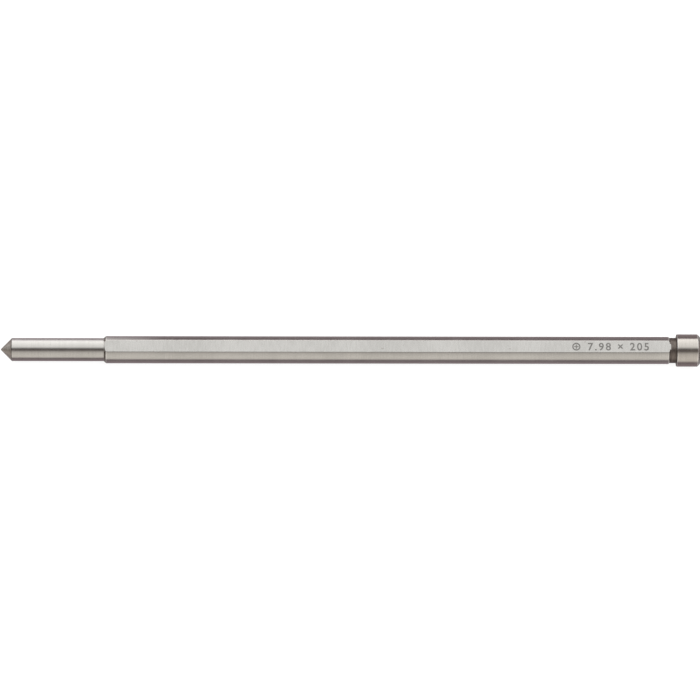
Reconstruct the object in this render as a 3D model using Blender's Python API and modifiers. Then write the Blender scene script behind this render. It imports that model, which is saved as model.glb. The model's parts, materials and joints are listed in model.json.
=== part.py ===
"""Pilot pin for an annular cutter: one bar of hardened steel, turned and then ground.

The pin lies along X. Its point is at the -X end, the flat end of its head is in the
plane X = 0, and its two long flats face +Z and -Z. All lengths are in metres.
"""

import math

import bmesh
import bpy
from mathutils import Vector

# Overall length, from the end of the head to the end of the point
LENGTH = 0.205

# Head: the collar that stops the pin in the arbor and takes the ejector's push
HEAD_DIAMETER = 0.0095
HEAD_LENGTH = 0.007
HEAD_CHAMFER = 0.0008
HEAD_EDGE_ROUNDING = 0.00018

# Neck: the relief groove under the head
NECK_DIAMETER = 0.0074
NECK_LENGTH = 0.002
NECK_ROOT_ROUNDING = 0.0002

# Shank: the long guide that slides in the cutter's bore
SHANK_DIAMETER = 0.00798
SHANK_EDGE_ROUNDING = 0.00035

# Nose: the thinner front end, with its conical point
NOSE_DIAMETER = 0.00676
NOSE_LENGTH = 0.0302
NOSE_ROOT_ROUNDING = 0.00012
POINT_ANGLE = math.radians(90.0)
POINT_BASE_ROUNDING = 0.0001
POINT_TIP_ROUNDING = 0.00015

# Coolant flats, ground on opposite sides of the shank
FLAT_TO_FLAT = 0.0072
FLAT_RUN_INTO_NECK = 0.0006
FLAT_RUN_PAST_SHOULDER = 0.002
FLAT_CUTTER_WIDTH = 0.012
FLAT_CUTTER_HEIGHT = 0.004

# Fineness of the turned surface. The first corner is half a facet off the Z axis, so that
# a facet and not a corner is lowest, and the pin doesn't rock where it lies.
TURN_STEPS = 120
FIRST_CORNER_ANGLE = math.pi / TURN_STEPS
ROUNDING_STEPS = 2
MERGE_DISTANCE = 0.000001
SHARP_ANGLE = math.radians(50.0)

# Ground steel
STEEL_COLOUR = (0.56, 0.55, 0.53, 1.0)
STEEL_ROUGHNESS = 0.28
STEEL_METALLIC = 1.0

HEAD_RADIUS = HEAD_DIAMETER / 2.0
NECK_RADIUS = NECK_DIAMETER / 2.0
SHANK_RADIUS = SHANK_DIAMETER / 2.0
NOSE_RADIUS = NOSE_DIAMETER / 2.0

# The rounded tip ends at LENGTH, so the sharp apex of the cone lies a little beyond it
POINT_HALF_ANGLE = POINT_ANGLE / 2.0
APEX_OVERSHOOT = POINT_TIP_ROUNDING * (1.0 / math.sin(POINT_HALF_ANGLE) - 1.0)
POINT_LENGTH = NOSE_RADIUS / math.tan(POINT_HALF_ANGLE)

# Axial stations, measured along the pin from the end of the head
HEAD_BACK = HEAD_LENGTH
NECK_END = HEAD_BACK + NECK_LENGTH
SHANK_START = NECK_END + (SHANK_RADIUS - NECK_RADIUS)
SHOULDER_ROOT = LENGTH - NOSE_LENGTH
SHANK_END = SHOULDER_ROOT - (SHANK_RADIUS - NOSE_RADIUS)
POINT_APEX = LENGTH + APEX_OVERSHOOT
POINT_BASE = POINT_APEX - POINT_LENGTH


def clear_scene():
    """Remove every object, so that the part starts from an empty scene."""
    for old_object in list(bpy.data.objects):
        bpy.data.objects.remove(old_object, do_unlink=True)


def make_collection(name, parent):
    """Add a collection under another one."""
    collection = bpy.data.collections.new(name)
    parent.children.link(collection)
    return collection


def make_material(name, colour, roughness, metallic):
    """Make a Principled material from one colour and two surface values."""
    material = bpy.data.materials.new(name)
    material.use_nodes = True
    shader = material.node_tree.nodes["Principled BSDF"]
    shader.inputs["Base Color"].default_value = colour
    shader.inputs["Roughness"].default_value = roughness
    shader.inputs["Metallic"].default_value = metallic
    material.diffuse_color = colour
    return material


def rounded_corner(before, corner, after, radius):
    """Give the points of an arc that rounds one corner of a profile."""
    to_before = (before - corner).normalized()
    to_after = (after - corner).normalized()
    half_angle = to_before.angle(to_after) / 2.0
    tangent_length = radius / math.tan(half_angle)
    centre_distance = radius / math.sin(half_angle)
    centre = corner + (to_before + to_after).normalized() * centre_distance
    start = corner + to_before * tangent_length - centre
    end = corner + to_after * tangent_length - centre
    sweep = start.angle(end)
    points = []
    for step in range(ROUNDING_STEPS + 1):
        share = step / ROUNDING_STEPS
        start_weight = math.sin((1.0 - share) * sweep) / math.sin(sweep)
        end_weight = math.sin(share * sweep) / math.sin(sweep)
        points.append(centre + start * start_weight + end * end_weight)
    return points


def turned_profile():
    """Give the pin's half section, from the end of the head to the tip.

    Each point is a radius and a height, and the height is minus the axial station.
    """
    corners = [
        (HEAD_RADIUS - HEAD_CHAMFER, 0.0, HEAD_EDGE_ROUNDING),
        (HEAD_RADIUS, HEAD_CHAMFER, HEAD_EDGE_ROUNDING),
        (HEAD_RADIUS, HEAD_BACK, HEAD_EDGE_ROUNDING),
        (NECK_RADIUS, HEAD_BACK, NECK_ROOT_ROUNDING),
        (NECK_RADIUS, NECK_END, NECK_ROOT_ROUNDING),
        (SHANK_RADIUS, SHANK_START, NECK_ROOT_ROUNDING),
        (SHANK_RADIUS, SHANK_END, SHANK_EDGE_ROUNDING),
        (NOSE_RADIUS, SHOULDER_ROOT, NOSE_ROOT_ROUNDING),
        (NOSE_RADIUS, POINT_BASE, POINT_BASE_ROUNDING),
    ]
    sharp = [Vector((radius, -station)) for radius, station, rounding in corners]
    start = Vector((0.0, 0.0))
    apex = Vector((0.0, -POINT_APEX))
    mirrored_base = Vector((-NOSE_RADIUS, -POINT_BASE))
    path = [start] + sharp + [apex]
    points = [start]
    for index, (radius, station, rounding) in enumerate(corners):
        points.extend(rounded_corner(path[index], sharp[index], path[index + 2], rounding))
    tip = rounded_corner(sharp[-1], apex, mirrored_base, POINT_TIP_ROUNDING)
    points.extend(tip[: ROUNDING_STEPS // 2 + 1])
    points[-1].x = 0.0
    return points


def make_turned_body(name, points, collection, material):
    """Turn a profile about the Z axis into one closed body, shaded smooth."""
    profile = bpy.data.meshes.new(name + "_profile")
    across = math.cos(FIRST_CORNER_ANGLE)
    along = math.sin(FIRST_CORNER_ANGLE)
    vertices = [(point.x * across, point.x * along, point.y) for point in points]
    edges = [(index, index + 1) for index in range(len(points) - 1)]
    profile.from_pydata(vertices, edges, [])
    body = bpy.data.objects.new(name, profile)
    collection.objects.link(body)
    turn = body.modifiers.new("Turning", "SCREW")
    turn.axis = "Z"
    turn.angle = 2.0 * math.pi
    turn.steps = TURN_STEPS
    turn.render_steps = TURN_STEPS
    turn.use_merge_vertices = True
    turn.merge_threshold = MERGE_DISTANCE

    bpy.context.view_layer.update()
    evaluated = body.evaluated_get(bpy.context.evaluated_depsgraph_get())
    turned = bpy.data.meshes.new_from_object(evaluated)
    turned.name = name
    turned.shade_smooth()
    turned.set_sharp_from_angle(angle=SHARP_ANGLE)
    turned.materials.append(material)
    body.modifiers.clear()
    body.data = turned
    bpy.data.meshes.remove(profile)
    return body


def make_flat_cutter(name, side, collection):
    """Make the block that grinds one flat; side is +1 for +Z and -1 for -Z."""
    start = -(SHOULDER_ROOT + FLAT_RUN_PAST_SHOULDER)
    end = -(NECK_END - FLAT_RUN_INTO_NECK)
    near = FLAT_TO_FLAT / 2.0
    cutter_mesh = bpy.data.meshes.new(name)
    shape = bmesh.new()
    bmesh.ops.create_cube(shape, size=1.0)
    size = Vector((end - start, FLAT_CUTTER_WIDTH, FLAT_CUTTER_HEIGHT))
    bmesh.ops.scale(shape, vec=size, verts=shape.verts)
    shape.to_mesh(cutter_mesh)
    shape.free()
    cutter = bpy.data.objects.new(name, cutter_mesh)
    cutter.location = (
        (start + end) / 2.0,
        0.0,
        side * (near + FLAT_CUTTER_HEIGHT / 2.0),
    )
    cutter.display_type = "WIRE"
    cutter.hide_render = True
    collection.objects.link(cutter)
    return cutter


def cut(body, cutter):
    """Take a cutter's volume away from a body."""
    modifier = body.modifiers.new(cutter.name, "BOOLEAN")
    modifier.operation = "DIFFERENCE"
    modifier.solver = "EXACT"
    modifier.object = cutter


def build_pin(collection, cutter_collection, material):
    """Build the whole pin, which is one piece of steel."""
    pin = make_turned_body("pilot_pin", turned_profile(), collection, material)
    pin.rotation_euler = (0.0, math.pi / 2.0, 0.0)
    for name, side in (("upper_flat_cutter", 1.0), ("lower_flat_cutter", -1.0)):
        cut(pin, make_flat_cutter(name, side, cutter_collection))
    return pin


def main():
    clear_scene()
    part_collection = make_collection("Pilot pin", bpy.context.scene.collection)
    cutter_collection = make_collection("Cutters", bpy.context.scene.collection)
    steel = make_material("Ground steel", STEEL_COLOUR, STEEL_ROUGHNESS, STEEL_METALLIC)
    build_pin(part_collection, cutter_collection, steel)


main()
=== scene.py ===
"""Looks of the pilot pin: its fine surface, its steels, a generic size mark, light and camera.

The pin lies along X with its point at -X. Lengths are in metres and angles in radians,
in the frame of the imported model.
"""

import json
import math

import bpy
from mathutils import Matrix, Vector


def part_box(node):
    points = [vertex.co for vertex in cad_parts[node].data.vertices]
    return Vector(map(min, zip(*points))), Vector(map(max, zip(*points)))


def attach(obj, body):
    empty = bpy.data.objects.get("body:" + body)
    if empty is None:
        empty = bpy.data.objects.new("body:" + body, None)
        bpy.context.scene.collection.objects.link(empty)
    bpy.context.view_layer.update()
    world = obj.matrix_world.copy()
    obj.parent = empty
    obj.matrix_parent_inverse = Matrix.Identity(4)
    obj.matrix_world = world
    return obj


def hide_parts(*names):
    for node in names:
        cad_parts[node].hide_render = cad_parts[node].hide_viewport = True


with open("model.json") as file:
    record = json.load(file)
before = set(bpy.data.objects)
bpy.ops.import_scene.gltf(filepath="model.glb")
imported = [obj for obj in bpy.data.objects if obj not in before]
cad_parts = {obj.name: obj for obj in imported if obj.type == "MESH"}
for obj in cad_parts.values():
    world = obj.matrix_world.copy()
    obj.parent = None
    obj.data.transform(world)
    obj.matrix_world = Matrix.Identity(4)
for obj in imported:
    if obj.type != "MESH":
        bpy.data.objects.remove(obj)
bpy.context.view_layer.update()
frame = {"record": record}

# ---------------------------------------------------------------- sizes of the pin

pin_low, pin_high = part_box("pilot_pin")
mounts = {mount["name"]: mount for mount in frame["record"]["mounts"]}

LENGTH = pin_high[0] - pin_low[0]
HEAD_RADIUS = (pin_high[2] - pin_low[2]) / 2.0
HEAD_LENGTH = -mounts["head_seat"]["pos_m"][0]
FLAT_HEIGHT = mounts["upper_flat"]["pos_m"][2]

HEAD_CHAMFER = 0.0008
NECK_RADIUS = 0.0037
NECK_LENGTH = 0.002
SHANK_RADIUS = 0.00399
NOSE_RADIUS = 0.00338
NOSE_LENGTH = 0.0302
POINT_HALF_ANGLE = math.radians(45.0)

HEAD_EDGE_ROUNDING = 0.00028
SEAT_EDGE_ROUNDING = 0.0003
NECK_ROOT_ROUNDING = 0.0002
SHANK_END_ROUNDING = 0.0002
SHOULDER_ROUNDING = 0.00035
SHOULDER_ROOT_ROUNDING = 0.00012
POINT_BASE_ROUNDING = 0.0001
POINT_TIP_ROUNDING = 0.00015

# The flats run a little way into the neck and end there in a short ramp
FLAT_OVERRUN = 0.0004
FLAT_END = -(HEAD_LENGTH + NECK_LENGTH - FLAT_OVERRUN)
FLAT_RAMP = 0.00015

# Stations along the pin, from its point to its head
POINT_APEX = -LENGTH - POINT_TIP_ROUNDING * (1.0 / math.sin(POINT_HALF_ANGLE) - 1.0)
POINT_BASE = POINT_APEX + NOSE_RADIUS / math.tan(POINT_HALF_ANGLE)
SHOULDER_ROOT = -LENGTH + NOSE_LENGTH
SHANK_START = SHOULDER_ROOT + (SHANK_RADIUS - NOSE_RADIUS)
NECK_START = -HEAD_LENGTH - NECK_LENGTH
SHANK_END = NECK_START - (SHANK_RADIUS - NECK_RADIUS)
HEAD_START = -HEAD_LENGTH

# Fineness of the surface: steps round each corner of the profile, lengths of the steps
# between corners, and steps round a quarter of the pin beside a flat and over half a flat
ROUNDING_STEPS = 7
FINE_STEP = 0.00006
NECK_STEP = FINE_STEP * 2
POINT_STEP = FINE_STEP * 3
FACE_STEP = FINE_STEP * 4
LONG_STEP = 0.006
HEAD_STEP = LONG_STEP / 4
SIDE_STEPS = 84
FLAT_STEPS = 34

# How many steps of a rounding have its first finish; the others have its second
HALF_SPLIT = 3
END_EDGE_SPLIT = 4
SEAT_EDGE_SPLIT = 5

# Heights this close to each other are level
LEVEL_TOLERANCE = 1e-9

# The shoulder's painted shade gives way to the turned chamfer's colour where a flat meets it,
# in a strip of this half width
SHADE_GAP_HALF_WIDTH = 0.00155
SHOULDER_MARGIN = FINE_STEP * 3

# The last of the cone, before its base, which is darkened in a ring with the shoulder's painted
# shade
POINT_RING_WIDTH = 0.0002

# The laser mark on the upper flat, near the head: a centre mark, then the pin's size
MARK_START = -0.0377
MARK_HEIGHT = 0.0024
MARK_RING_LINE = 0.00038
MARK_CROSS_LINE = 0.0003
MARK_CROSS_REACH = 0.00065
MARK_GAP = 0.0022
MARK_TEXT = "7.98 \u00d7 205"
MARK_SPACING = 1.28
MARK_BOLDNESS = 0.018
MARK_TOP = 0.000008
MARK_SUNK = 0.000004
MARK_RING_STEPS = 64
MARK_CURVE_STEPS = 4

# ---------------------------------------------------------------- steel in general

# Cycles a metre of the patches that all the steels share, along X, Y and Z
BROAD_PATCHES = (70.0, 40.0, 40.0)

# Shares of the tool lines, the patches and the broad patches in a steel's shade
LINE_SHARE = 0.4
PATCH_SHARE = 0.25
BROAD_SHARE = 0.35

# Fine lines beside the tool lines: how many times closer, and how deep beside them
FINE_RATE = 3.1
FINE_DEPTH = 0.35

# Parts of the noise's range that the shade and the roughness are drawn from
SHADE_RANGE = (0.38, 0.62)
ROUGH_RANGE = (0.32, 0.68)

# Shifts that keep the layers of noise apart
FINE_SHIFT = (3.0, 7.0, 1.0)
PATCH_SHIFT = (11.0, 5.0, 2.0)
BROAD_SHIFT = (2.0, 19.0, 8.0)
STAIN_SHIFT = (29.0, 13.0, 17.0)

# The small brown stains: cycles a metre, range of the noise that shows, strength and colour
STAIN_RATE = (900.0, 900.0, 900.0)
STAIN_RANGE = (0.70, 0.78)
STAIN_AMOUNT = 0.35
STAIN_COLOUR = (0.24, 0.20, 0.18, 1.0)

# ---------------------------------------------------------------- camera and light

VIEW_ELEVATION = math.radians(72.5)
VIEW_ROLL = math.radians(0.085)
VIEW_TURN = math.radians(-1.4)
VIEW_FIT = 1.0007
VIEW_WIDTH = LENGTH * VIEW_FIT
VIEW_SHIFT = 0.00013
VIEW_CENTRE = Vector((pin_high[0] - VIEW_WIDTH / 2.0 - VIEW_SHIFT, 0.0, 0.0))
CAMERA_LENS = 350.0
CAMERA_SENSOR = 36.0

# What the camera sees, as parts of its distance
CAMERA_NEAR = 0.1
CAMERA_FAR = 10.0

TOWARDS_CAMERA = Vector((0.0, -math.cos(VIEW_ELEVATION), math.sin(VIEW_ELEVATION)))
PICTURE_UP = Vector((0.0, math.sin(VIEW_ELEVATION), math.cos(VIEW_ELEVATION)))

# Tints of the light
PEARL = (1.01, 1.0, 0.975)
TAN = (1.05, 1.0, 0.925)
SHADE = (1.14, 1.0, 0.95)
ROSE = (1.2, 1.0, 1.04)

# The light tent round the pin: (angle round the pin's axis in degrees, brightness, tint).
# The angle is 0 towards the camera, where the tent is open, and 90 towards the picture's top.
TENT_SIDES = [
    (-180.0, 0.15, ROSE),
    (-135.0, 0.16, ROSE),
    (-104.0, 0.11, ROSE),
    (-94.5, 0.13, ROSE),
    (-82.5, 0.435, TAN),
    (-62.0, 0.455, TAN),
    (-40.0, 0.405, TAN),
    (-27.0, 0.35, TAN),
    (-18.0, 0.25, TAN),
    (-9.0, 0.09, SHADE),
    (8.5, 0.062, SHADE),
    (17.0, 0.31, PEARL),
    (22.0, 0.52, PEARL),
    (29.0, 0.61, PEARL),
    (50.0, 0.71, PEARL),
    (76.0, 0.87, PEARL),
    (86.5, 0.91, PEARL),
    (94.0, 0.19, ROSE),
    (103.0, 0.09, ROSE),
    (135.0, 0.17, ROSE),
    (180.0, 0.15, ROSE),
]

# The tent's two ends, beyond the point and beyond the head
TENT_POINT_END = [
    (-180.0, 0.14, SHADE),
    (-165.0, 0.22, TAN),
    (-145.0, 0.38, TAN),
    (-120.0, 0.41, TAN),
    (-90.0, 0.22, TAN),
    (-50.0, 0.09, TAN),
    (0.0, 0.08, SHADE),
    (50.0, 0.09, PEARL),
    (85.0, 0.15, PEARL),
    (107.0, 0.23, PEARL),
    (120.0, 0.42, PEARL),
    (135.0, 0.72, PEARL),
    (152.0, 0.72, PEARL),
    (170.0, 0.30, PEARL),
    (180.0, 0.14, SHADE),
]
TENT_HEAD_END = [
    (-180.0, 0.24, SHADE),
    (-90.0, 0.20, SHADE),
    (0.0, 0.18, SHADE),
    (60.0, 0.26, SHADE),
    (110.0, 0.30, SHADE),
    (180.0, 0.24, SHADE),
]
TENT_STRENGTH = 1.75

# Between its sides and its ends the tent has lamps: its sides again, brighter by a gain up to a
# limit, but one level and tint past an angle, on the side away from the camera
TENT_LAMPS_GAIN = 1.4
TENT_LAMPS_LIMIT = 0.72
TENT_LAMPS_UNDER_ANGLE = 90.0
TENT_LAMPS_UNDER = (0.28, (1.07, 1.0, 0.98))

# Where the sides, the lamps and the ends meet, as the along-pin share of a direction
TENT_LAMPS_NONE = 0.09
TENT_LAMPS_FULL = 0.22
TENT_END_START = 0.72
TENT_END_FULL = 0.88

FLOOR_SIZE = 3.0
FLOOR_COLOUR = (0.16, 0.16, 0.16, 1.0)
FLOOR_ROUGHNESS = 0.9
FLOOR_GLOW = 0.84
FLOOR_LIGHT_POWER = 26.0
FLOOR_LIGHT_SIZE = 1.4
FLOOR_LIGHT_HEIGHT = 1.0

# The small cards behind the nose, each (height, level of its middle, radiance), and the ones
# that go on from them behind the start of the shank, whose radiance fades to nothing
CARD_DISTANCE = 0.006
CARD_LENGTH = 0.0298
CARDS = [
    (0.0023, 0.0034, 0.9),
    (0.0026, 0.00075, 0.22),
]
FADING_LENGTH = 0.018
FADING_CARDS = [
    (0.0023, 0.0034, 0.48),
    (0.0026, 0.00075, 0.2),
]


# ---------------------------------------------------------------- node helpers


def add_node(tree, kind, **settings):
    """Add a shader node and set its properties."""
    node = tree.nodes.new(kind)
    for name, value in settings.items():
        setattr(node, name, value)
    return node


def join(tree, source, target):
    """Link an output to an input, or set the input where the source is a plain value."""
    if isinstance(source, bpy.types.NodeSocket):
        tree.links.new(source, target)
    else:
        target.default_value = source


def math_node(tree, operation, first, second=0.0):
    """Add a Math node and give its output."""
    node = add_node(tree, "ShaderNodeMath", operation=operation)
    join(tree, first, node.inputs[0])
    join(tree, second, node.inputs[1])
    return node.outputs[0]


def ramp_range(tree, value, low, high, to_low=0.0, to_high=1.0):
    """Map a value smoothly from one range to another, and give the output."""
    node = add_node(tree, "ShaderNodeMapRange", interpolation_type="SMOOTHSTEP")
    join(tree, value, node.inputs["Value"])
    join(tree, low, node.inputs["From Min"])
    join(tree, high, node.inputs["From Max"])
    join(tree, to_low, node.inputs["To Min"])
    join(tree, to_high, node.inputs["To Max"])
    return node.outputs["Result"]


def blend_colour(tree, factor, first, second):
    """Mix two colours and give the output."""
    node = add_node(tree, "ShaderNodeMix", data_type="RGBA", blend_type="MIX")
    join(tree, factor, node.inputs["Factor"])
    join(tree, first, node.inputs[6])
    join(tree, second, node.inputs[7])
    return node.outputs[2]


def turned_place(tree, place):
    """The place as (along the pin, distance from its axis), for lines that run round it."""
    parts = add_node(tree, "ShaderNodeSeparateXYZ")
    tree.links.new(place, parts.inputs["Vector"])
    across = add_node(tree, "ShaderNodeCombineXYZ")
    tree.links.new(parts.outputs["Y"], across.inputs["X"])
    tree.links.new(parts.outputs["Z"], across.inputs["Y"])
    distance = add_node(tree, "ShaderNodeVectorMath", operation="LENGTH")
    tree.links.new(across.outputs["Vector"], distance.inputs[0])
    joined = add_node(tree, "ShaderNodeCombineXYZ")
    tree.links.new(parts.outputs["X"], joined.inputs["X"])
    tree.links.new(distance.outputs["Value"], joined.inputs["Y"])
    return joined.outputs["Vector"]


def stretched_noise(tree, stretch, detail, roughness=0.5, offset=(0.0, 0.0, 0.0),
                    turned=False):
    """Noise in the pin's own coordinates, with its own number of cycles a metre each way."""
    place = add_node(tree, "ShaderNodeTexCoord").outputs["Object"]
    if turned:
        place = turned_place(tree, place)
    mapping = add_node(tree, "ShaderNodeMapping", vector_type="POINT")
    mapping.inputs["Scale"].default_value = stretch
    mapping.inputs["Location"].default_value = offset
    tree.links.new(place, mapping.inputs["Vector"])
    noise = add_node(tree, "ShaderNodeTexNoise")
    noise.inputs["Scale"].default_value = 1.0
    noise.inputs["Detail"].default_value = detail
    noise.inputs["Roughness"].default_value = roughness
    tree.links.new(mapping.outputs["Vector"], noise.inputs["Vector"])
    return noise.outputs["Fac"]


# ---------------------------------------------------------------- steels


def steel(name, colours, roughness, lines, line_depth, patches, stained=False, turned=False):
    """A bare steel: two shades, a range of roughness, tool lines, patches and small stains.

    lines and patches are cycles a metre along X, Y and Z; line_depth is in metres. Where
    turned is true, the second rate of lines is outwards from the axis.
    """
    material = bpy.data.materials.new(name)
    material.use_nodes = True
    tree = material.node_tree
    shader = tree.nodes["Principled BSDF"]
    shader.inputs["Metallic"].default_value = 1.0

    line = stretched_noise(tree, lines, detail=3.0, roughness=0.6, turned=turned)
    fine_rates = [FINE_RATE * rate for rate in lines]
    fine_line = stretched_noise(tree, fine_rates, detail=2.0, roughness=0.6,
                                offset=FINE_SHIFT, turned=turned)
    patch = stretched_noise(tree, patches, detail=3.0, offset=PATCH_SHIFT)
    broad = stretched_noise(tree, BROAD_PATCHES, detail=1.0, offset=BROAD_SHIFT)
    mixed = math_node(tree, "ADD", math_node(tree, "MULTIPLY", line, LINE_SHARE),
                      math_node(tree, "MULTIPLY", patch, PATCH_SHARE))
    mixed = math_node(tree, "ADD", mixed, math_node(tree, "MULTIPLY", broad, BROAD_SHARE))
    shade = ramp_range(tree, mixed, *SHADE_RANGE)
    colour = blend_colour(tree, shade, colours[0], colours[1])
    if stained:
        spot = stretched_noise(tree, STAIN_RATE, detail=2.0, offset=STAIN_SHIFT)
        amount = ramp_range(tree, spot, *STAIN_RANGE, 0.0, STAIN_AMOUNT)
        colour = blend_colour(tree, amount, colour, STAIN_COLOUR)
    tree.links.new(colour, shader.inputs["Base Color"])

    rough_mix = math_node(tree, "ADD", math_node(tree, "MULTIPLY", fine_line, 0.5),
                          math_node(tree, "MULTIPLY", patch, 0.5))
    rough = ramp_range(tree, rough_mix, *ROUGH_RANGE, *roughness)
    tree.links.new(rough, shader.inputs["Roughness"])

    height = math_node(tree, "ADD", line, math_node(tree, "MULTIPLY", fine_line, FINE_DEPTH))
    bump = add_node(tree, "ShaderNodeBump")
    bump.inputs["Strength"].default_value = 1.0
    bump.inputs["Distance"].default_value = line_depth
    tree.links.new(height, bump.inputs["Height"])
    tree.links.new(bump.outputs["Normal"], shader.inputs["Normal"])
    return material


def make_steels():
    """The finishes of the one bar, in the order of the numbers below."""
    ground_round = steel(
        "ground_round_steel",
        [(0.545, 0.535, 0.52, 1.0), (0.60, 0.59, 0.575, 1.0)],
        (0.15, 0.22),
        (5200.0, 60.0, 60.0), 0.0000013, (260.0, 420.0, 420.0), stained=True,
    )
    ground_flat = steel(
        "ground_flat_steel",
        [(0.498, 0.493, 0.483, 1.0), (0.563, 0.558, 0.548, 1.0)],
        (0.2, 0.3),
        (1700.0, 300.0, 300.0), 0.0000018, (420.0, 300.0, 300.0), stained=True,
    )
    turned_point = steel(
        "turned_point_steel",
        [(0.34, 0.305, 0.28, 1.0), (0.49, 0.455, 0.43, 1.0)],
        (0.20, 0.30),
        (5000.0, 350.0, 350.0), 0.000004, (900.0, 900.0, 900.0), stained=True,
    )
    tempered_neck = steel(
        "tempered_neck_steel",
        [(0.112, 0.095, 0.087, 1.0), (0.21, 0.182, 0.165, 1.0)],
        (0.34, 0.5),
        (2600.0, 500.0, 500.0), 0.000004, (1200.0, 700.0, 700.0),
    )
    turned_chamfer = steel(
        "turned_chamfer_steel",
        [(0.44, 0.42, 0.405, 1.0), (0.52, 0.50, 0.485, 1.0)],
        (0.2, 0.3),
        (6000.0, 200.0, 200.0), 0.000002, (500.0, 600.0, 600.0),
    )
    # The head's end chamfer: its steel darkened as painted shade, so that it stays dark under
    # the tent's brighter head end
    end_chamfer_painted_shade = steel(
        "painted_shade_end_chamfer_steel",
        [(0.32, 0.305, 0.295, 1.0), (0.38, 0.365, 0.355, 1.0)],
        (0.2, 0.3),
        (6000.0, 200.0, 200.0), 0.000002, (500.0, 600.0, 600.0),
    )
    turned_end = steel(
        "turned_end_steel",
        [(0.43, 0.415, 0.40, 1.0), (0.56, 0.545, 0.53, 1.0)],
        (0.22, 0.34),
        (400.0, 3600.0, 0.0), 0.000004, (500.0, 600.0, 600.0), stained=True, turned=True,
    )
    # Painted highlight on the rounded edges: a steel much lighter than the bar's, which shows
    # as a bright strip along each edge
    painted_edge_highlight = steel(
        "painted_highlight_steel",
        [(0.70, 0.69, 0.675, 1.0), (0.82, 0.81, 0.80, 1.0)],
        (0.14, 0.24),
        (6000.0, 200.0, 200.0), 0.000001, (700.0, 600.0, 600.0),
    )
    # Painted shade in the corners at the neck's roots, darker than the neck's own oxide
    painted_corner_shade = steel(
        "painted_shade_corner_steel",
        [(0.07, 0.058, 0.052, 1.0), (0.14, 0.12, 0.11, 1.0)],
        (0.35, 0.5),
        (3000.0, 500.0, 500.0), 0.000003, (1200.0, 700.0, 700.0),
    )
    # The shoulder chamfer's steel, darkened as painted shade
    shoulder = steel(
        "painted_shade_shoulder_steel",
        [(0.13, 0.112, 0.102, 1.0), (0.22, 0.195, 0.18, 1.0)],
        (0.22, 0.32),
        (5000.0, 300.0, 300.0), 0.000003, (900.0, 700.0, 700.0),
    )
    ground_head = steel(
        "ground_head_steel",
        [(0.535, 0.505, 0.475, 1.0), (0.575, 0.548, 0.52, 1.0)],
        (0.15, 0.22),
        (3600.0, 60.0, 60.0), 0.0000015, (500.0, 420.0, 420.0), stained=True,
    )
    return [
        ground_round, ground_flat, turned_point, tempered_neck,
        turned_chamfer, painted_edge_highlight, painted_corner_shade, shoulder, ground_head,
        end_chamfer_painted_shade, turned_end,
    ]


GROUND_ROUND, GROUND_FLAT, TURNED_POINT, TEMPERED_NECK = range(4)
TURNED_CHAMFER, PAINTED_EDGE_HIGHLIGHT, PAINTED_CORNER_SHADE, SHOULDER_PAINTED_SHADE, GROUND_HEAD = range(4, 9)
END_CHAMFER_PAINTED_SHADE, TURNED_END = range(9, 11)


def mark_material():
    """The laser's matt grey oxide, drawn in close lines along the pin."""
    return steel(
        "laser_mark",
        [(0.21, 0.206, 0.20, 1.0), (0.285, 0.28, 0.275, 1.0)],
        (0.42, 0.55),
        (300.0, 9000.0, 9000.0), 0.000002, (2500.0, 2500.0, 2500.0),
    )


# ---------------------------------------------------------------- the bar


def rounded_corner(before, corner, after, radius):
    """The points of an arc that rounds one corner of the profile."""
    to_before = (before - corner).normalized()
    to_after = (after - corner).normalized()
    half_angle = to_before.angle(to_after) / 2.0
    reach = radius / math.tan(half_angle)
    centre = corner + (to_before + to_after).normalized() * (radius / math.sin(half_angle))
    start = corner + to_before * reach - centre
    end = corner + to_after * reach - centre
    sweep = start.angle(end)
    points = []
    for step in range(ROUNDING_STEPS + 1):
        share = step / ROUNDING_STEPS
        weight_start = math.sin((1.0 - share) * sweep) / math.sin(sweep)
        weight_end = math.sin(share * sweep) / math.sin(sweep)
        points.append(centre + start * weight_start + end * weight_end)
    return points


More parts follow.
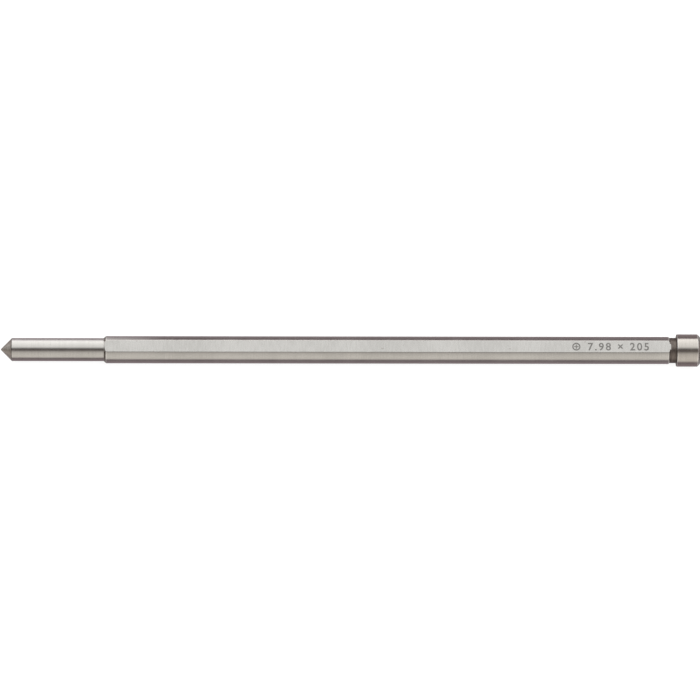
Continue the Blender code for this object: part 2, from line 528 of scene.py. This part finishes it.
def bar_profile():
    """The half section from the tip to the end of the head: (x, radius, finish) for each ring.

    A ring's finish is that of the surface between it and the ring before it.
    """
    # x, radius, rounding, finish and step of the run up to the corner, finishes of the
    # rounding's first and second part, number of its steps in the first part
    # Painted light in this table: the shoulder's, the corners' and the end chamfer's colours
    # are painted shade, the bright edges' a painted highlight; the seat's edge keeps the neck's
    # dark colour for its first steps as painted shade before its painted highlight
    corners = [
        (POINT_BASE, NOSE_RADIUS, POINT_BASE_ROUNDING, TURNED_POINT, POINT_STEP,
         SHOULDER_PAINTED_SHADE, PAINTED_EDGE_HIGHLIGHT, HALF_SPLIT),
        (SHOULDER_ROOT, NOSE_RADIUS, SHOULDER_ROOT_ROUNDING, GROUND_ROUND, LONG_STEP,
         GROUND_ROUND, SHOULDER_PAINTED_SHADE, HALF_SPLIT),
        (SHANK_START, SHANK_RADIUS, SHOULDER_ROUNDING, SHOULDER_PAINTED_SHADE, FINE_STEP,
         SHOULDER_PAINTED_SHADE, PAINTED_EDGE_HIGHLIGHT, HALF_SPLIT),
        (SHANK_END, SHANK_RADIUS, SHANK_END_ROUNDING, GROUND_ROUND, LONG_STEP,
         PAINTED_EDGE_HIGHLIGHT, PAINTED_EDGE_HIGHLIGHT, HALF_SPLIT),
        (NECK_START, NECK_RADIUS, NECK_ROOT_ROUNDING, TURNED_CHAMFER, FINE_STEP,
         PAINTED_CORNER_SHADE, PAINTED_CORNER_SHADE, HALF_SPLIT),
        (HEAD_START, NECK_RADIUS, NECK_ROOT_ROUNDING, TEMPERED_NECK, NECK_STEP,
         PAINTED_CORNER_SHADE, PAINTED_CORNER_SHADE, HALF_SPLIT),
        (HEAD_START, HEAD_RADIUS, SEAT_EDGE_ROUNDING, TEMPERED_NECK, FACE_STEP,
         TEMPERED_NECK, PAINTED_EDGE_HIGHLIGHT, SEAT_EDGE_SPLIT),
        (-HEAD_CHAMFER, HEAD_RADIUS, HEAD_EDGE_ROUNDING, GROUND_HEAD, HEAD_STEP,
         PAINTED_EDGE_HIGHLIGHT, PAINTED_EDGE_HIGHLIGHT, HALF_SPLIT),
        (0.0, HEAD_RADIUS - HEAD_CHAMFER, HEAD_EDGE_ROUNDING, END_CHAMFER_PAINTED_SHADE, FACE_STEP,
         END_CHAMFER_PAINTED_SHADE, TURNED_END, END_EDGE_SPLIT),
    ]
    apex = Vector((POINT_APEX, 0.0))
    centre = Vector((0.0, 0.0))
    path = [apex] + [Vector(corner[:2]) for corner in corners] + [centre]

    mirrored = Vector((POINT_BASE, -NOSE_RADIUS))
    tip = rounded_corner(mirrored, apex, path[1], POINT_TIP_ROUNDING)
    tip = tip[ROUNDING_STEPS // 2 + 1:]
    rings = [(point.x, max(point.y, 0.0), TURNED_POINT) for point in tip]

    for index, corner in enumerate(corners):
        rounding, run_finish, step, first_finish, second_finish, split = corner[2:]
        arc = rounded_corner(path[index], path[index + 1], path[index + 2], rounding)
        last = Vector(rings[-1][:2])
        span = arc[0] - last
        count = max(1, math.ceil(span.length / step))
        for part in range(1, count + 1):
            place = last + span * (part / count)
            in_painted_shade_ring = index == 0 and place.x > POINT_BASE - POINT_RING_WIDTH
            rings.append((place.x, place.y, SHOULDER_PAINTED_SHADE if in_painted_shade_ring else run_finish))
        for part, place in enumerate(arc[1:]):
            rings.append((place.x, place.y, first_finish if part < split else second_finish))
    return rings


def section_angles():
    """Angles round the pin, with one exactly on each long edge of the flats."""
    edge = math.asin(FLAT_HEIGHT / SHANK_RADIUS)
    quarter = [edge * step / SIDE_STEPS for step in range(SIDE_STEPS)]
    quarter += [edge + (math.pi / 2.0 - edge) * step / FLAT_STEPS for step in range(FLAT_STEPS)]
    quarter.append(math.pi / 2.0)
    half = quarter + [math.pi - angle for angle in reversed(quarter[:-1])]
    return half[:-1] + [math.pi + angle for angle in half[:-1]]


def flat_height(x):
    """Distance of the flats from the axis at x: they end in a short ramp in the neck."""
    rise = min(max((x - FLAT_END) / FLAT_RAMP, 0.0), 1.0)
    return FLAT_HEIGHT + (HEAD_RADIUS - FLAT_HEIGHT) * rise


def face_finish(corners, ring_finish):
    """A face's finish: its ring's, apart from the flats and where a flat meets the shoulder."""
    x = corners[0][0]
    heights = [abs(z) for _, _, z in corners]
    level = max(heights) - min(heights) < LEVEL_TOLERANCE
    if level and min(heights) > FLAT_HEIGHT - LEVEL_TOLERANCE and x < FLAT_END:
        return GROUND_FLAT
    # Where a flat meets the shoulder, the shoulder's painted shade gives way to the turned
    # chamfer's colour
    in_strip = max(abs(y) for _, y, _ in corners) < SHADE_GAP_HALF_WIDTH
    if ring_finish == SHOULDER_PAINTED_SHADE and in_strip and x > SHOULDER_ROOT - SHOULDER_MARGIN:
        return TURNED_CHAMFER
    return ring_finish


def make_bar(materials):
    """The bar's whole surface, as one closed mesh of rings."""
    rings = bar_profile()
    angles = section_angles()
    count = len(angles)
    vertices = [(-LENGTH, 0.0, 0.0)]
    for x, radius, _ in rings:
        height = flat_height(x)
        for angle in angles:
            y = radius * math.cos(angle)
            z = radius * math.sin(angle)
            if abs(z) > height:
                y *= height / abs(z)
                z = math.copysign(height, z)
            vertices.append((x, y, z))
    vertices.append((0.0, 0.0, 0.0))

    faces = []
    finishes = []
    for side in range(count):
        faces.append((0, 1 + (side + 1) % count, 1 + side))
        finishes.append(TURNED_POINT)
    for ring in range(len(rings) - 1):
        first = 1 + ring * count
        second = first + count
        for side in range(count):
            after = (side + 1) % count
            face = (first + side, first + after, second + after, second + side)
            faces.append(face)
            corners = [vertices[corner] for corner in face]
            finishes.append(face_finish(corners, rings[ring + 1][2]))
    last = 1 + (len(rings) - 1) * count
    for side in range(count):
        faces.append((last + side, last + (side + 1) % count, len(vertices) - 1))
        finishes.append(TURNED_END)

    mesh = bpy.data.meshes.new("pin_bar")
    mesh.from_pydata(vertices, [], faces)
    for material in materials:
        mesh.materials.append(material)
    mesh.polygons.foreach_set("material_index", finishes)
    mesh.validate()
    mesh.shade_smooth()
    mesh.update()
    bar = bpy.data.objects.new("pin_bar", mesh)
    bpy.context.scene.collection.objects.link(bar)
    return bar


# ---------------------------------------------------------------- the laser mark


def thin_plate(name, outlines, material):
    """Closed plates a few thousandths of a millimetre proud of the upper flat, as one piece.

    Each outline is a list of (x, y) loops of equal length. One loop is the edge of a solid
    plate, and two loops are the outer and inner edge of a ring.
    """
    top = FLAT_HEIGHT + MARK_TOP
    bottom = FLAT_HEIGHT - MARK_SUNK
    vertices = []
    faces = []
    for loops in outlines:
        first = len(vertices)
        count = len(loops[0])
        for z in (bottom, top):
            for loop in loops:
                vertices.extend((x, y, z) for x, y in loop)
        level = count * len(loops)
        upper = first + level
        for side in range(count):
            after = (side + 1) % count
            faces.append((first + side, first + after, upper + after, upper + side))
            if len(loops) == 2:
                inner = count
                faces.append((first + inner + after, first + inner + side,
                              upper + inner + side, upper + inner + after))
                faces.append((upper + side, upper + after,
                              upper + inner + after, upper + inner + side))
                faces.append((first + after, first + side,
                              first + inner + side, first + inner + after))
        if len(loops) == 1:
            faces.append(tuple(range(upper, upper + count)))
            faces.append(tuple(reversed(range(first, first + count))))
    mesh = bpy.data.meshes.new(name)
    mesh.from_pydata(vertices, [], faces)
    mesh.materials.append(material)
    mesh.validate()
    mesh.update()
    plate = bpy.data.objects.new(name, mesh)
    bpy.context.scene.collection.objects.link(plate)
    return plate


def make_centre_mark(material):
    """A ring with a cross in it, as a drawing marks a centre."""
    radius = MARK_HEIGHT / 2.0
    centre_x = MARK_START + radius
    turns = [2.0 * math.pi * step / MARK_RING_STEPS for step in range(MARK_RING_STEPS)]
    ring = []
    for size in (radius, radius - MARK_RING_LINE):
        ring.append([(centre_x + size * math.cos(turn), size * math.sin(turn))
                     for turn in turns])
    half = MARK_CROSS_LINE / 2.0
    arm = [(MARK_CROSS_REACH, -half), (MARK_CROSS_REACH, half), (half, half)]
    cross = []
    for quarter in range(4):
        for x, y in arm:
            for _ in range(quarter):
                x, y = -y, x
            cross.append((centre_x + x, y))
    return thin_plate("centre_mark", [ring, [cross]], material)


def make_size_mark(material):
    """The pin's diameter and length in millimetres, in plain numerals."""
    text = bpy.data.curves.new("size_mark", "FONT")
    text.body = MARK_TEXT
    text.space_character = MARK_SPACING
    text.offset = MARK_BOLDNESS
    text.resolution_u = MARK_CURVE_STEPS
    writing = bpy.data.objects.new("size_mark_text", text)
    bpy.context.scene.collection.objects.link(writing)
    bpy.context.view_layer.update()
    box = [Vector(corner) for corner in writing.bound_box]
    low = Vector([min(corner[axis] for corner in box) for axis in range(3)])
    high = Vector([max(corner[axis] for corner in box) for axis in range(3)])
    scale = MARK_HEIGHT / (high.y - low.y)
    text.extrude = (MARK_TOP + MARK_SUNK) / 2.0 / scale
    bpy.context.view_layer.update()
    evaluated = writing.evaluated_get(bpy.context.evaluated_depsgraph_get())
    mesh = bpy.data.meshes.new_from_object(evaluated)
    mesh.name = "size_mark"
    start = Vector((MARK_START + MARK_HEIGHT + MARK_GAP, 0.0,
                    FLAT_HEIGHT + (MARK_TOP - MARK_SUNK) / 2.0))
    middle = Vector((low.x, (low.y + high.y) / 2.0, 0.0))
    mesh.transform(Matrix.Translation(start) @ Matrix.Scale(scale, 4)
                   @ Matrix.Translation(-middle))
    mesh.materials.clear()
    mesh.materials.append(material)
    mesh.update()
    bpy.data.objects.remove(writing)
    mark = bpy.data.objects.new("size_mark", mesh)
    bpy.context.scene.collection.objects.link(mark)
    return mark


# ---------------------------------------------------------------- stage


def make_floor():
    """A plain pale floor, which the head of the pin rests on."""
    half = FLOOR_SIZE / 2.0
    mesh = bpy.data.meshes.new("floor")
    corners = [(-half, -half), (half, -half), (half, half), (-half, half)]
    centre = (pin_low[0] + pin_high[0]) / 2.0
    vertices = [(centre + x, y, pin_low[2]) for x, y in corners]
    mesh.from_pydata(vertices, [], [(0, 1, 2, 3)])
    material = bpy.data.materials.new("floor_paper")
    material.use_nodes = True
    shader = material.node_tree.nodes["Principled BSDF"]
    shader.inputs["Base Color"].default_value = FLOOR_COLOUR
    shader.inputs["Roughness"].default_value = FLOOR_ROUGHNESS
    shader.inputs["Specular IOR Level"].default_value = 0.0
    shader.inputs["Emission Color"].default_value = (1.0, 1.0, 1.0, 1.0)
    shader.inputs["Emission Strength"].default_value = FLOOR_GLOW
    mesh.materials.append(material)
    floor = bpy.data.objects.new("floor", mesh)
    floor.visible_glossy = False
    bpy.context.scene.collection.objects.link(floor)
    return floor


def tent_ramp(tree, angle, stops):
    """Colour of the tent by angle round the pin's axis."""
    share = math_node(tree, "ADD", math_node(tree, "DIVIDE", angle, 2.0 * math.pi), 0.5)
    node = add_node(tree, "ShaderNodeValToRGB")
    ramp = node.color_ramp
    ramp.interpolation = "LINEAR"
    while len(ramp.elements) < len(stops):
        ramp.elements.new(0.5)
    for element, (degrees, level, tint) in zip(ramp.elements, stops):
        element.position = degrees / 360.0 + 0.5
        element.color = [level * part for part in tint] + [1.0]
    tree.links.new(share, node.inputs["Fac"])
    return node.outputs["Color"]


def make_tent():
    """Soft light from all sides, as in a light tent, and plain white where the camera looks."""
    world = bpy.data.worlds.new("light_tent")
    bpy.context.scene.world = world
    world.use_nodes = True
    tree = world.node_tree
    background = tree.nodes["Background"]

    place = add_node(tree, "ShaderNodeTexCoord")
    direction = place.outputs["Generated"]
    parts = add_node(tree, "ShaderNodeSeparateXYZ")
    tree.links.new(direction, parts.inputs["Vector"])
    shares = []
    for axis in (PICTURE_UP, TOWARDS_CAMERA):
        dot = add_node(tree, "ShaderNodeVectorMath", operation="DOT_PRODUCT")
        tree.links.new(direction, dot.inputs[0])
        dot.inputs[1].default_value = axis
        shares.append(dot.outputs["Value"])
    angle = math_node(tree, "ARCTAN2", *shares)
    endwards = math_node(tree, "ABSOLUTE", parts.outputs["X"])
    lamps = []
    for degrees, level, tint in TENT_SIDES:
        if abs(degrees) > TENT_LAMPS_UNDER_ANGLE:
            lamps.append((degrees, *TENT_LAMPS_UNDER))
        else:
            lamps.append((degrees, min(level * TENT_LAMPS_GAIN, TENT_LAMPS_LIMIT), tint))
    sides = blend_colour(
        tree, ramp_range(tree, endwards, TENT_LAMPS_NONE, TENT_LAMPS_FULL),
        tent_ramp(tree, angle, TENT_SIDES),
        tent_ramp(tree, angle, lamps),
    )
    at_head = math_node(tree, "GREATER_THAN", parts.outputs["X"], 0.0)
    ends = blend_colour(
        tree, at_head,
        tent_ramp(tree, angle, TENT_POINT_END),
        tent_ramp(tree, angle, TENT_HEAD_END),
    )
    to_ends = ramp_range(tree, endwards, TENT_END_START, TENT_END_FULL)
    tent = blend_colour(tree, to_ends, sides, ends)
    tree.links.new(tent, background.inputs["Color"])
    background.inputs["Strength"].default_value = TENT_STRENGTH

    plain = add_node(tree, "ShaderNodeBackground")
    plain.inputs["Color"].default_value = (1.0, 1.0, 1.0, 1.0)
    path = add_node(tree, "ShaderNodeLightPath")
    mix = add_node(tree, "ShaderNodeMixShader")
    tree.links.new(path.outputs["Is Camera Ray"], mix.inputs["Fac"])
    tree.links.new(background.outputs["Background"], mix.inputs[1])
    tree.links.new(plain.outputs["Background"], mix.inputs[2])
    tree.links.new(mix.outputs["Shader"], tree.nodes["World Output"].inputs["Surface"])


def make_floor_light():
    """A large soft lamp that whitens the floor and isn't mirrored in the steel."""
    lamp = bpy.data.lights.new("floor_light", "AREA")
    lamp.shape = "DISK"
    lamp.size = FLOOR_LIGHT_SIZE
    lamp.energy = FLOOR_LIGHT_POWER
    lamp_object = bpy.data.objects.new("floor_light", lamp)
    lamp_object.location = (VIEW_CENTRE.x, 0.0, FLOOR_LIGHT_HEIGHT)
    lamp_object.visible_glossy = False
    lamp_object.visible_camera = False
    bpy.context.scene.collection.objects.link(lamp_object)


def make_card(start, length, height, level, radiance):
    """A small lit card that stands behind the pin, from start on along it."""
    lamp = bpy.data.lights.new("bounce_card", "AREA")
    lamp.shape = "RECTANGLE"
    lamp.size = length
    lamp.size_y = height
    lamp.energy = radiance * math.pi * length * height
    card = bpy.data.objects.new("bounce_card", lamp)
    card.location = (start + length / 2.0, CARD_DISTANCE, level)
    card.rotation_euler = (math.radians(-90.0), 0.0, 0.0)
    card.visible_camera = False
    card.visible_diffuse = False
    bpy.context.scene.collection.objects.link(card)
    return lamp


def fade_along(lamp):
    """Let a card's light fade from full at its start to none at its far end."""
    lamp.use_nodes = True
    tree = lamp.node_tree
    place = add_node(tree, "ShaderNodeNewGeometry")
    parts = add_node(tree, "ShaderNodeSeparateXYZ")
    tree.links.new(place.outputs["Parametric"], parts.inputs["Vector"])
    left = math_node(tree, "SUBTRACT", 1.0, parts.outputs["X"])
    tree.links.new(left, tree.nodes["Emission"].inputs["Strength"])


def make_bounce_cards():
    """The cards that lighten the far edge of the nose and of the start of the shank."""
    for height, level, radiance in CARDS:
        make_card(-LENGTH, CARD_LENGTH, height, level, radiance)
    for height, level, radiance in FADING_CARDS:
        fade_along(make_card(-LENGTH + CARD_LENGTH, FADING_LENGTH, height, level, radiance))


def make_camera():
    """A long lens above the pin, seventeen and a half degrees off the flat's normal."""
    camera = bpy.data.cameras.new("camera")
    camera.lens = CAMERA_LENS
    camera.sensor_width = CAMERA_SENSOR
    distance = VIEW_WIDTH * CAMERA_LENS / CAMERA_SENSOR
    camera.clip_start = distance * CAMERA_NEAR
    camera.clip_end = distance * CAMERA_FAR
    along = Vector((1.0, 0.0, 0.0))
    right = along * math.cos(VIEW_ROLL) + PICTURE_UP * math.sin(VIEW_ROLL)
    up = PICTURE_UP * math.cos(VIEW_ROLL) - along * math.sin(VIEW_ROLL)
    turn = Matrix((right, up, TOWARDS_CAMERA)).transposed()
    camera_object = bpy.data.objects.new("camera", camera)
    place = Matrix.Translation(Vector((0.0, 0.0, distance)))
    swing = Matrix.Rotation(VIEW_TURN, 4, PICTURE_UP)
    centre = Matrix.Translation(VIEW_CENTRE)
    camera_object.matrix_world = centre @ swing @ turn.to_4x4() @ place
    bpy.context.scene.collection.objects.link(camera_object)
    bpy.context.scene.camera = camera_object


# ---------------------------------------------------------------- the scene

bpy.context.scene.view_settings.view_transform = "Standard"
make_camera()
make_tent()
make_floor_light()
make_bounce_cards()
make_floor()

bar = make_bar(make_steels())
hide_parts("pilot_pin")
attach(bar, "root")

mark_steel = mark_material()
for mark in (make_centre_mark(mark_steel), make_size_mark(mark_steel)):
    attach(mark, "root")
